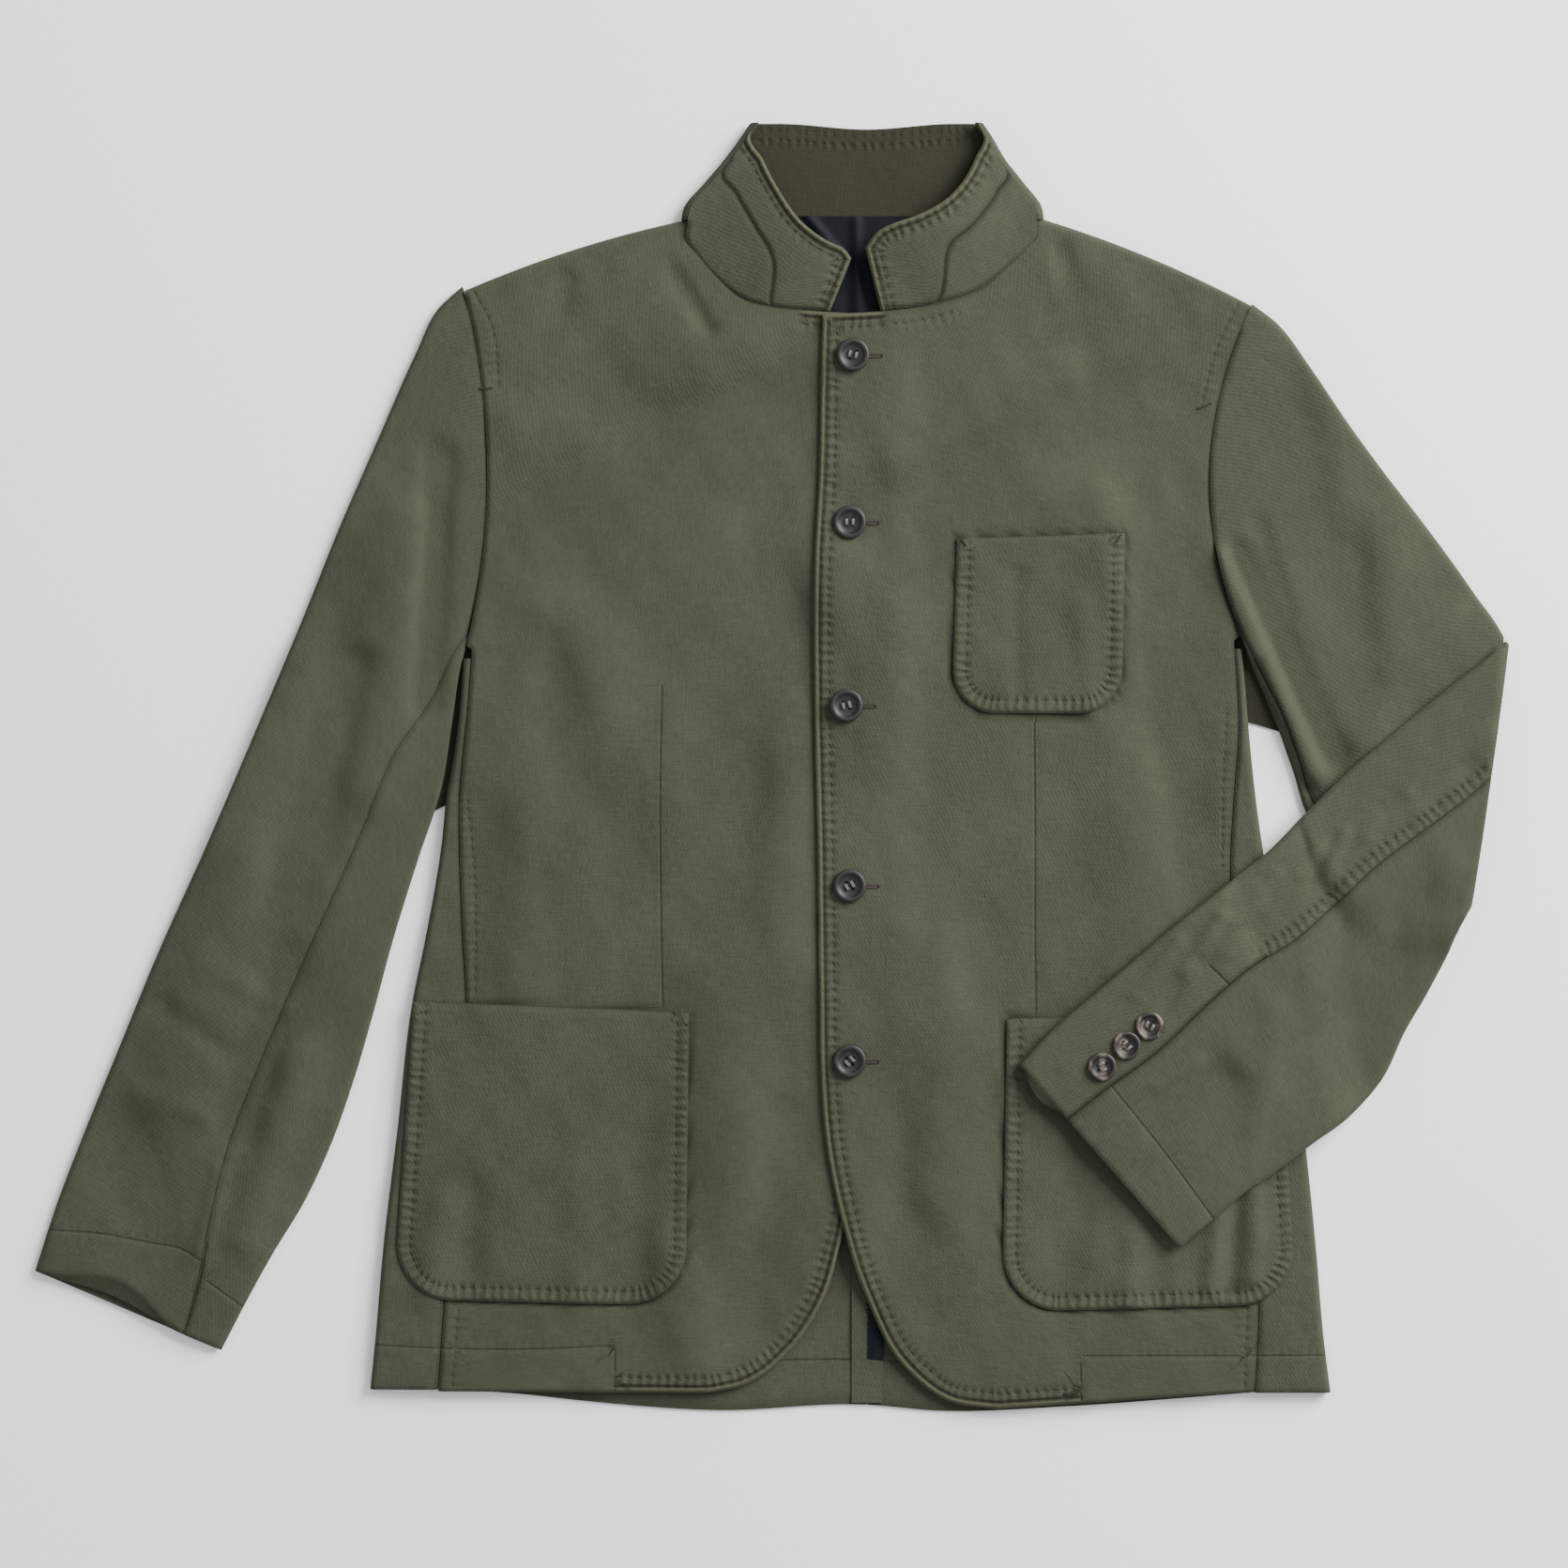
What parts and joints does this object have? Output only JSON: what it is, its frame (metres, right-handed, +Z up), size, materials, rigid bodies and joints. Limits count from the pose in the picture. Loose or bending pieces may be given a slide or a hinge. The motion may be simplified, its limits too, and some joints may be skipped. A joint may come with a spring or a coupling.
{
  "type": "stand-collar blazer, laid flat",
  "caption": "Long-sleeved stand-collar cotton blazer laid flat, buttoned, with patch pockets and one forearm folded over the front.",
  "frame": {"origin": "centre of the bounding box, on the surface that the blazer lies on", "axes": "+Z up from that surface, +Y from the hem to the collar, +X towards the wearer's left side"},
  "size_m": [0.91, 0.7958, 0.0224],
  "materials": {
    "shell_cloth": "matte garment-dyed olive cotton twill",
    "lining": "smooth navy lining",
    "horn": "polished grey-brown horn look"
  },
  "bodies": {
    "root": {"back_left": "shell_cloth", "back_right": "shell_cloth", "vent_strip": "shell_cloth", "front_left": "shell_cloth", "front_right": "shell_cloth", "side_left": "shell_cloth", "side_right": "shell_cloth", "collar_back": "shell_cloth", "collar_left_stand": "shell_cloth", "collar_left_edge": "shell_cloth", "collar_right_stand": "shell_cloth", "collar_right_edge": "shell_cloth", "sleeve_right_top": "shell_cloth", "sleeve_right_under": "shell_cloth", "sleeve_left_top": "shell_cloth", "sleeve_left_under": "shell_cloth", "forearm_top": "shell_cloth", "forearm_under": "shell_cloth", "forearm_fold": "shell_cloth", "underarm_left": "shell_cloth", "underarm_right": "shell_cloth", "pocket_chest": "shell_cloth", "pocket_hip_left": "shell_cloth", "pocket_hip_right": "shell_cloth", "neck_lining": "lining", "vent_lining": "lining", "front_button_1": "horn", "front_button_2": "horn", "front_button_3": "horn", "front_button_4": "horn", "front_button_5": "horn", "cuff_button_1": "horn", "cuff_button_2": "horn", "cuff_button_3": "horn"}
  },
  "joints": []
}
